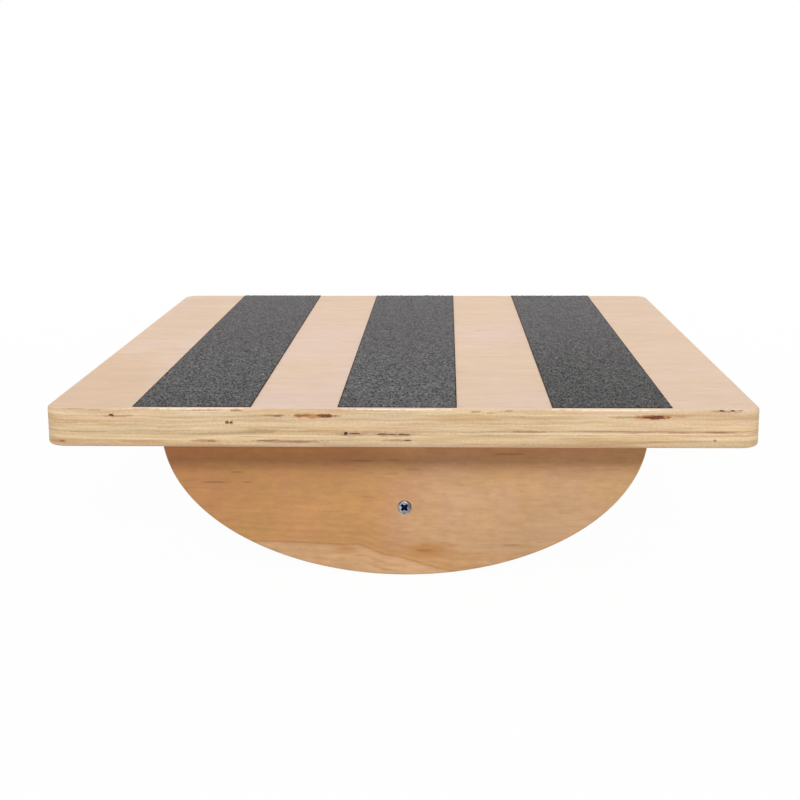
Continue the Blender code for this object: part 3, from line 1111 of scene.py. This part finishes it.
def make_world():
    """White to the camera, and a plain soft light of its own level and tint on the board."""
    world = bpy.data.worlds.new("studio")
    bpy.context.scene.world = world
    world.use_nodes = True
    nodes = Nodes(world.node_tree)
    nodes.tree.nodes.clear()
    light = [WORLD_LEVEL * part for part in WORLD_TINT] + [1.0]
    back = nodes.node("Background")
    nodes.feed(back.inputs["Color"], nodes.mix(seen_by_camera(nodes), light, WHITE))
    output = nodes.node("OutputWorld")
    nodes.feed(output.inputs["Surface"], back.outputs["Background"])


def add_lamp(name, place, aim, size, power):
    lamp = bpy.data.lights.new(name, "AREA")
    lamp.shape = "RECTANGLE"
    lamp.size, lamp.size_y = size
    lamp.energy = power
    light = bpy.data.objects.new(name, lamp)
    bpy.context.scene.collection.objects.link(light)
    light.location = place
    light.rotation_euler = (Vector(aim) - Vector(place)).to_track_quat("-Z", "Y").to_euler()


def make_camera():
    lens = bpy.data.cameras.new("camera")
    lens.lens = CAMERA_LENS
    lens.sensor_width = CAMERA_SENSOR
    lens.clip_start = CAMERA_NEAR
    lens.clip_end = CAMERA_FAR
    camera = bpy.data.objects.new("camera", lens)
    bpy.context.scene.collection.objects.link(camera)
    aim = Matrix.Rotation(-CAMERA_RIGHT, 4, "Z")
    aim = aim @ Matrix.Rotation(radians(90) - CAMERA_DOWN, 4, "X")
    aim = aim @ Matrix.Rotation(CAMERA_ROLL, 4, "Z")
    camera.matrix_world = Matrix.Translation(CAMERA_PLACE) @ aim
    bpy.context.scene.camera = camera


# What darkens the grain, as a share of its tone
WARM_SHADE = colour(246, 234, 218)

# The arch in the rockers' veneer: its height, then X from and to, and the drop between them
ARCH_HEIGHT = 0.0187
ARCH_DROPS = [(-0.110, -0.020, 0.0022), (-0.024, -0.006, 0.0060), (-0.012, 0.034, 0.0088)]

# Tones of the plies from the underside up
PLY_TONES = [
    (206, 179, 147),
    (198, 175, 139),
    (210, 189, 153),
    (197, 174, 140),
    (205, 184, 149),
    (207, 185, 150),
    (200, 177, 144),
    (210, 190, 156),
    (212, 191, 162),
]
DECK_PLIES = [colour(*tone) for tone in PLY_TONES]
ROCKER_PLIES = DECK_PLIES[::-1]

# Painted shade inside the gaps in the deck's front edge
VOID_SHADE_TONE = colour(44, 28, 18)
VOID_STRENGTH = 0.97
RUST = colour(104, 46, 14)
RUST_EDGE = colour(176, 118, 68)
BROWN = colour(134, 94, 64)
# A greyish brown
DUN = colour(156, 121, 84)
PINKISH = colour(174, 128, 98)
CREAM = colour(240, 215, 182)
# A painted highlight along the rounded top edge of the deck's front
ARRIS_HIGHLIGHT = colour(255, 244, 226)

# Gaps in the deck's front edge, in millimetres: X, height above the underside, half length and
# half height
FRONT_VOIDS = [
    (-137.4, 15.3, 1.4, 0.7),
    (-82.4, 12.0, 0.9, 0.8),
    (-80.4, 12.0, 0.8, 0.7),
    (-26.1, 6.8, 0.9, 0.9),
    (-22.0, 6.7, 2.6, 0.5),
    (-8.7, 6.5, 2.4, 0.6),
    (-4.2, 6.4, 3.0, 0.3),
    (0.2, 6.4, 1.2, 0.6),
    (2.6, 6.3, 2.0, 0.4),
    (3.6, 3.6, 1.6, 0.4),
    (150.6, 18.1, 1.4, 0.5),
    (155.7, 18.2, 1.2, 0.4),
]

# Coloured streaks there, in the same way, with their colour and strength. The last three are a
# painted highlight along the rounded top edge.
FRONT_STREAKS = [
    (-135.0, 15.1, 9.0, 0.7, DUN, 0.55),
    (-156.0, 18.4, 6.0, 0.3, BROWN, 0.45),
    (-145.0, 18.0, 4.8, 0.3, BROWN, 0.40),
    (-160.0, 11.8, 7.0, 0.4, DUN, 0.50),
    (-150.0, 7.5, 11.0, 0.4, DUN, 0.40),
    (-108.0, 9.5, 9.0, 0.3, DUN, 0.40),
    (-94.4, 18.2, 12.5, 0.5, BROWN, 0.55),
    (-78.4, 17.9, 3.6, 0.6, BROWN, 0.75),
    (-59.7, 15.5, 6.0, 0.7, BROWN, 0.60),
    (-58.0, 15.4, 1.8, 0.4, BROWN, 0.90),
    (-41.2, 15.4, 12.5, 1.3, RUST_EDGE, 0.85),
    (-46.7, 15.5, 4.8, 0.5, RUST, 0.60),
    (-35.0, 15.5, 4.6, 0.8, RUST, 0.95),
    (-65.5, 8.0, 9.0, 1.2, DUN, 0.50),
    (-53.0, 3.0, 20.0, 1.0, PINKISH, 0.70),
    (-63.0, 3.4, 5.0, 0.5, BROWN, 0.75),
    (-49.0, 2.7, 11.0, 0.4, BROWN, 0.65),
    (-163.0, 2.8, 4.2, 0.8, PINKISH, 0.80),
    (-161.4, 2.9, 1.6, 0.4, BROWN, 0.90),
    (-124.9, 2.8, 12.0, 0.6, PINKISH, 0.55),
    (-92.6, 3.2, 7.5, 0.8, PINKISH, 0.80),
    (-89.8, 3.0, 2.4, 0.4, BROWN, 0.75),
    (-23.5, 6.8, 7.5, 1.5, DUN, 0.45),
    (-13.0, 7.8, 8.0, 0.7, PINKISH, 0.50),
    (-3.0, 6.4, 11.0, 1.2, DUN, 0.45),
    (-1.0, 3.7, 8.0, 0.6, DUN, 0.60),
    (35.3, 17.6, 2.8, 0.4, BROWN, 0.75),
    (42.0, 17.0, 2.2, 0.3, DUN, 0.60),
    (50.7, 18.0, 3.6, 0.3, BROWN, 0.60),
    (60.0, 8.0, 10.0, 0.6, DUN, 0.75),
    (91.9, 8.4, 15.0, 0.5, DUN, 0.45),
    (109.6, 7.3, 5.5, 0.5, DUN, 0.55),
    (130.4, 7.6, 6.5, 0.5, DUN, 0.60),
    (150.1, 7.9, 10.0, 0.7, DUN, 0.65),
    (149.0, 8.0, 5.0, 0.4, BROWN, 0.60),
    (106.0, 15.1, 9.0, 0.7, DUN, 0.60),
    (131.0, 15.4, 6.0, 0.5, DUN, 0.50),
    (118.7, 15.2, 11.5, 1.2, RUST_EDGE, 0.85),
    (119.3, 15.1, 7.0, 0.9, RUST, 1.00),
    (105.0, 8.3, 75.0, 0.3, DUN, 0.40),
    (147.9, 4.1, 1.0, 0.6, BROWN, 0.85),
    (153.0, 18.0, 9.0, 0.5, DUN, 0.65),
    (159.6, 18.6, 2.2, 0.3, BROWN, 0.80),
    (90.0, 7.0, 85.0, 0.5, CREAM, 0.55),
    (-98.8, 18.8, 30.0, 0.6, ARRIS_HIGHLIGHT, 0.90),
    (-0.9, 18.8, 30.0, 0.6, ARRIS_HIGHLIGHT, 0.90),
    (99.5, 18.8, 30.0, 0.6, ARRIS_HIGHLIGHT, 0.90),
]

KNOT = colour(174, 118, 60)
RESIN = colour(136, 90, 52)

# Marks on the rockers, in the same way, with the height above the floor
ROCKER_MARKS = {
    "front": [
        (13.6, 13.7, 15.0, 5.4, KNOT, 0.35),
        (12.9, 13.5, 10.5, 3.4, KNOT, 0.45),
        (12.0, 13.2, 6.0, 1.6, KNOT, 0.50),
        (11.0, 13.0, 5.0, 0.6, RESIN, 0.45),
        (-29.6, 13.7, 8.5, 3.0, KNOT, 0.30),
        (-29.0, 13.6, 5.0, 1.3, KNOT, 0.40),
        (34.0, 10.0, 30.0, 2.2, KNOT, 0.22),
        (-83.5, 53.7, 3.6, 0.4, RESIN, 0.70),
        (-95.0, 48.5, 6.6, 0.4, RESIN, 0.75),
        (-78.6, 48.5, 2.8, 0.4, RESIN, 0.60),
        (-20.4, 59.7, 8.5, 0.6, RESIN, 0.55),
        (-5.4, 60.2, 5.5, 0.5, RESIN, 0.50),
        (5.4, 55.4, 4.0, 0.4, RESIN, 0.45),
        (52.0, 63.5, 10.0, 0.6, RESIN, 0.50),
        (55.3, 16.2, 5.0, 0.4, RESIN, 0.50),
    ],
    "rear": [
        (38.0, 33.0, 7.0, 3.5, KNOT, 0.60),
        (37.2, 33.0, 2.6, 1.3, RESIN, 0.60),
        (-51.0, 46.0, 6.0, 0.5, RESIN, 0.70),
        (73.0, 54.0, 4.0, 0.4, RESIN, 0.65),
        (-15.0, 19.0, 3.0, 0.4, RESIN, 0.60),
    ],
}

FLOOR_SIZE = 60.0
FLOOR_DROP = 0.0002
FLOOR_TONE = (0.8, 0.8, 0.8, 1.0)
# The share of the floor's own white near the board, and how far from the board's middle it
# starts and stops to rise to 1
FLOOR_GLOW = 0.975
FLOOR_FADE = (0.4, 1.2)

WORLD_LEVEL = 0.46
WORLD_TINT = (1.0, 0.90, 0.84)

# Lamps: name, place, the point they face, width and height, and power in watts
LAMPS = [
    ("key", (0.5, -3.2, 1.75), (0.0, 0.0, 0.06), (0.9, 0.55), 66.0),
    ("left", (-2.9, -0.9, 0.8), (0.0, 0.0, 0.06), (1.0, 1.0), 16.0),
    ("right", (2.9, -0.5, 0.8), (0.0, 0.0, 0.06), (1.0, 1.0), 7.0),
    ("overhead", (0.0, 1.2, 1.7), (0.0, 0.15, 0.09), (2.4, 1.4), 13.0),
]

make_camera()
deck_low, deck_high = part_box("deck")
# The gaps are painted dark inside, as shade
gaps = [gap + (VOID_SHADE_TONE, VOID_STRENGTH) for gap in FRONT_VOIDS]
deck_marks = spots(FRONT_STREAKS + gaps, deck_low.y, deck_low.z)
deck_edge = ply_edge("deck_ply_edge", 2, deck_low.z, deck_high.z, DECK_PLIES, deck_marks)
make_deck(deck_veneer(), deck_edge)
for end, side in ENDS.items():
    low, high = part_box("rocker_" + end)
    marks = spots(ROCKER_MARKS[end], side * farthest(low, high))
    face = rocker_veneer("rocker_veneer_" + end, marks, -side)
    edge = ply_edge("rocker_ply_edge_" + end, 1, low.y, high.y, ROCKER_PLIES)
    make_rocker(end, face, edge)
beech = turned_beech()
make_crossbar(beech)
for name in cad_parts:
    if name.startswith("dowel"):
        make_dowel(name, beech)
make_screws(zinc_plate(), shaded_recess_steel())
strip_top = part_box("grip_strip_middle")[1].z
grit = mineral_grit(deck_high.z + FILM_THICKNESS, strip_top)
film = strip_film()
for name in STRIP_TURNS:
    make_strip(name, grit, film)

make_stage()
make_world()
for lamp in LAMPS:
    add_lamp(*lamp)
bpy.context.scene.view_settings.view_transform = "Standard"

bpy.context.view_layer.update()
